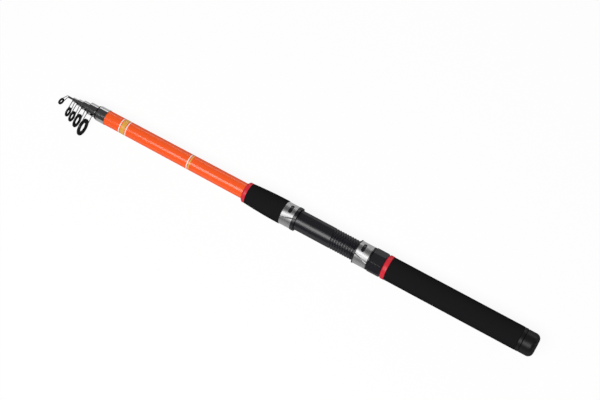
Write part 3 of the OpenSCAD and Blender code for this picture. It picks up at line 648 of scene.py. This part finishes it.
stop_lo, stop_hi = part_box("guide_2_stop_ring")
stop_sink = 0.5 * mm
stop_edge = 0.4 * mm
stop_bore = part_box("section_2")[1].z - stop_sink
stop_ring = soften(turned([
    (stop_lo.x, stop_bore), (stop_lo.x, stop_hi.z), (stop_hi.x, stop_hi.z), (stop_hi.x, stop_bore)],
    around=72), stop_edge)
fit_piece("stop_ring_black", stop_ring, ring_black, "guide_2", "ring_plastic", "guide_2_stop_ring")


# Tip top: a short steel tube glued on the solid tip, with a wire that bends
# down on both sides and holds the smallest ring, where the line leaves the rod.

tip_wire_d = 0.8 * mm
tip_wall = 0.35 * mm
tip_edge = 0.1 * mm
tip_bend = math.radians(77)
tip_bend_ahead = 1.1 * mm
tip_hole_r = 2 * mm
tip_ring_r = 4.1 * mm
tip_ring_width = 1.9 * mm
tip_lo, tip_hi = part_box("tip_top_tube")
tip_r = tip_hi.z
tip_bend_x = tip_hi.x + tip_bend_ahead
tip_ring_lo, tip_ring_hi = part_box("tip_top_ring")
tip_ring_mid = (tip_ring_lo + tip_ring_hi) / 2
tip_reach = math.sqrt((tip_ring_mid.x - tip_bend_x) ** 2 + tip_ring_mid.y ** 2 + tip_ring_mid.z ** 2)
tip_side = Matrix.Rotation(math.atan2(tip_ring_mid.z, tip_ring_mid.y), 4, "X")
tip_place = tip_side @ Matrix.Translation((tip_bend_x, 0, 0))
tip_tube = soften(turned([
    (tip_lo.x, tip_r - tip_wall), (tip_lo.x, tip_r), (tip_hi.x, tip_r),
    (tip_hi.x, tip_r - tip_wall)], around=32), tip_edge)
fit_piece("tip_top_sleeve", tip_tube, wire_steel, "tip_top", "wire_steel", "tip_top_tube")
tip_wire = guide_wire(tip_wire_d, tip_r + glue_gap + tip_wire_d / 2, tip_reach,
                      tip_ring_r - wire_sink * tip_wire_d, tip_bend_x - tip_lo.x - foot_stop, tip_bend)
bmesh.ops.transform(tip_wire, matrix=tip_place, verts=tip_wire.verts)
fit_piece("tip_top_wire", tip_wire, wire_steel, "tip_top", "wire_steel", "tip_top_frame")
tip_outer, tip_insert = ring_shapes(tip_ring_r, tip_hole_r, tip_ring_width, tip_wire_d)
tip_tilt = (tip_place @ Matrix.Rotation(tip_bend - math.pi / 2, 4, "Z")
            @ Matrix.Translation((0, tip_reach, 0)))
for part, shape, material, slot in (
        ("_ring", tip_outer, ring_black, "ring_plastic"), ("_insert", tip_insert, ceramic, "ring_ceramic")):
    bmesh.ops.transform(shape, matrix=tip_tilt, verts=shape.verts)
    fit_piece("tip_top" + part + "_shape", shape, material, "tip_top", slot, "tip_top" + part)


# Studio: the rod lies on a white table, seen from above with its tip turned
# away, under large soft lights.

tip_away = math.radians(12.7)
guide_tilt = math.radians(9)
roll = math.radians(27.99)
distance = 1.525
rod_mid = Vector((0.297, 0, 0))
off_axis = 0.0199
to_camera = Vector((-math.sin(tip_away), math.sin(guide_tilt) * math.cos(tip_away),
                    math.cos(guide_tilt) * math.cos(tip_away)))
rod_way = Vector((1, 0, 0))
along = (rod_way - to_camera * to_camera.x).normalized()
across = to_camera.cross(along)
right = -math.cos(roll) * along - math.sin(roll) * across
up = math.sin(roll) * along - math.cos(roll) * across
camera_data = bpy.data.cameras.new("camera")
camera_data.lens = 84
camera_data.sensor_width = 36
camera = bpy.data.objects.new("camera", camera_data)
bpy.context.scene.collection.objects.link(camera)
turn = Matrix((right, up, to_camera)).transposed().to_4x4()
camera.matrix_world = Matrix.Translation(rod_mid - off_axis * across + to_camera * distance) @ turn
bpy.context.scene.camera = camera

white = (1, 1, 1, 1)
floor_half = 60
table_glow = 0.93
floor_shape = bmesh.new()
bmesh.ops.create_grid(floor_shape, x_segments=1, y_segments=1, size=floor_half)
bmesh.ops.translate(floor_shape, verts=floor_shape.verts, vec=(rod_mid.x, 0, cad_box[0][2]))
floor_mesh = bpy.data.meshes.new("floor")
floor_shape.to_mesh(floor_mesh)
floor_shape.free()
floor = bpy.data.objects.new("floor", floor_mesh)
bpy.context.scene.collection.objects.link(floor)
table = bpy.data.materials.new("white_table")
table.use_nodes = True
table.node_tree.nodes.clear()
rays = add_node(table, "ShaderNodeLightPath", {})
seen = add_node(table, "ShaderNodeMath", {
    0: rays.outputs["Is Camera Ray"], 1: rays.outputs["Is Glossy Ray"]})
seen.operation = "MAXIMUM"
shown = add_node(table, "ShaderNodeMath", {0: seen.outputs[0], 1: rays.outputs["Is Transmission Ray"]})
shown.operation = "MAXIMUM"
lit = add_node(table, "ShaderNodeBsdfDiffuse", {"Color": (0.7, 0.7, 0.7, 1)})
shadow = add_node(table, "ShaderNodeBsdfDiffuse", {"Color": (0.07, 0.07, 0.07, 1)})
glow = add_node(table, "ShaderNodeEmission", {"Color": white, "Strength": table_glow})
bright = add_node(table, "ShaderNodeAddShader", {0: shadow.outputs[0], 1: glow.outputs[0]})
blend = add_node(table, "ShaderNodeMixShader", {
    0: shown.outputs[0], 1: lit.outputs[0], 2: bright.outputs[0]})
add_node(table, "ShaderNodeOutputMaterial", {"Surface": blend.outputs[0]})
floor_mesh.materials.append(table)


def softbox(name, station, way, away, width, length, power):
    """A flat rectangular lamp that faces a station of the rod, with its long side along it."""
    lamp = bpy.data.lights.new(name, "AREA")
    lamp.shape = "RECTANGLE"
    lamp.size = length
    lamp.size_y = width
    lamp.energy = power
    holder = bpy.data.objects.new(name, lamp)
    bpy.context.scene.collection.objects.link(holder)
    facing = way.normalized()
    side = (rod_way - facing * facing.x).normalized()
    lamp_turn = Matrix((side, facing.cross(side), facing)).transposed().to_4x4()
    holder.matrix_world = Matrix.Translation(rod_way * station + facing * away) @ lamp_turn


softbox("top_softbox", station=0.33, way=Vector((0, 0.45, 0.89)), away=1.2,
        width=0.6, length=1.2, power=14.6)
softbox("back_softbox", station=0.3, way=Vector((0, -0.975, 0.22)), away=1.4,
        width=0.4, length=2.4, power=7.5)

world = bpy.data.worlds.new("studio")
world.use_nodes = True
world.node_tree.nodes["Background"].inputs["Color"].default_value = (1, 0.97, 0.97, 1)
world.node_tree.nodes["Background"].inputs["Strength"].default_value = 0.14
bpy.context.scene.world = world
bpy.context.scene.view_settings.view_transform = "Standard"
